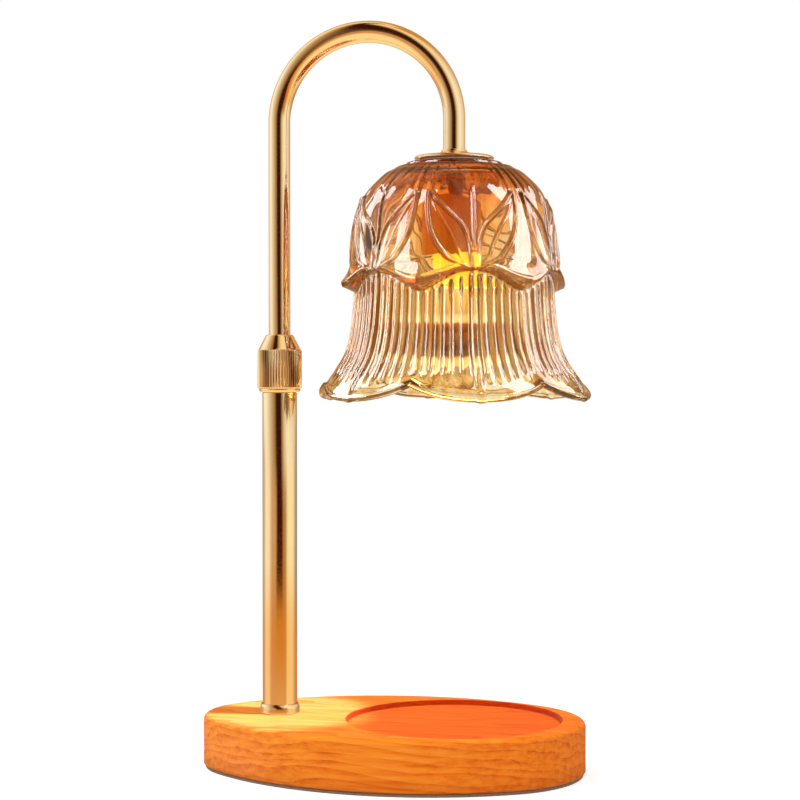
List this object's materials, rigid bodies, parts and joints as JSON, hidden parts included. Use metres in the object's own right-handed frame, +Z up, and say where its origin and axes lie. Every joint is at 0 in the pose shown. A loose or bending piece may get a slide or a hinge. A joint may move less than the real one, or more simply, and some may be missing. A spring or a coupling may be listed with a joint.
{
  "type": "candle warmer lamp",
  "caption": "Candle warmer lamp: a telescopic gooseneck on an oval wooden base holds a bell-shaped pressed-glass shade and a reflector bulb over a recess for a candle jar.",
  "frame": {"origin": "on the underside of the base pad, in the middle of the base's plan", "axes": "+Z up, +X from the pole to the shade, -Y to the front of the lamp"},
  "size_m": [0.1942, 0.1334, 0.37],
  "materials": {
    "wood": "clear-lacquered light wood with a straight grain along the base",
    "foam_pad": "matt dark grey foam sheet",
    "dark_plastic": "matt moulded plastic",
    "rubber": "matt rubber",
    "steel": "plain zinc-plated steel",
    "gold": "polished gold plating",
    "brass": "plain turned brass",
    "nylon": "natural nylon",
    "silicone": "translucent silicone",
    "amber_glass": "clear pressed glass, amber at the crown and pale champagne at the skirt",
    "ceramic": "unglazed white ceramic",
    "bulb_glass": "clear glass with a warm reflective coat inside"
  },
  "bodies": {
    "base": {"wood_base": "wood", "base_pad": "foam_pad", "bottom_cover": "dark_plastic", "cord_grommet": "rubber", "cover_screw_1": "steel", "cover_screw_2": "steel", "cover_screw_3": "steel", "pole_tube": "gold", "foot_collar": "gold", "pole_anchor": "brass", "pole_washer": "steel", "pole_nut": "steel"},
    "collet": {"collet": "brass"},
    "lock_nut": {"lock_nut": "gold"},
    "guide": {"guide_bush": "nylon"},
    "arm": {"guide_clip_lower": "steel", "guide_clip_upper": "steel", "gooseneck": "gold", "neck_flange": "gold", "shade_cap": "gold", "neck_nipple": "brass", "upper_gasket": "silicone", "glass_shade": "amber_glass", "lower_gasket": "silicone", "shade_washer": "brass", "shade_nut": "brass", "holder_cup": "brass", "holder_nut": "steel", "holder_ceramic": "ceramic", "holder_screw_1": "steel", "holder_screw_2": "steel", "holder_contact_1": "brass", "holder_contact_2": "brass"},
    "bulb": {"bulb_reflector": "bulb_glass", "bulb_lens": "bulb_glass", "bulb_neck": "ceramic", "bulb_capsule": "bulb_glass", "bulb_pin_1": "steel", "bulb_pin_2": "steel"}
  },
  "joints": [
    {"name": "height_slide", "type": "slide", "parent": "base", "child": "guide", "axis": [0, 0, 1], "range_m": [-0.065, 0.035]},
    {"name": "arm_swing", "type": "hinge", "parent": "guide", "child": "arm", "pos_m": [-0.0575, 0, 0.12], "axis": [0, 0, 1], "range_deg": [-90, 90]},
    {"name": "collet_lift", "type": "slide", "parent": "base", "child": "collet", "axis": [0, 0, 1], "range_m": [0, 0.0015]},
    {"name": "nut_turn", "type": "hinge", "parent": "collet", "child": "lock_nut", "pos_m": [-0.0575, 0, 0.187], "axis": [0, 0, 1], "range_deg": [0, 360]},
    {"name": "bulb_twist", "type": "hinge", "parent": "arm", "child": "bulb", "pos_m": [0.0309, 0, 0.254], "axis": [0, 0, 1], "range_deg": [-20, 0]}
  ],
  "couplings": [
    {"joint": "nut_turn", "follows": "collet_lift", "rad_per_m": 4188.8}
  ]
}
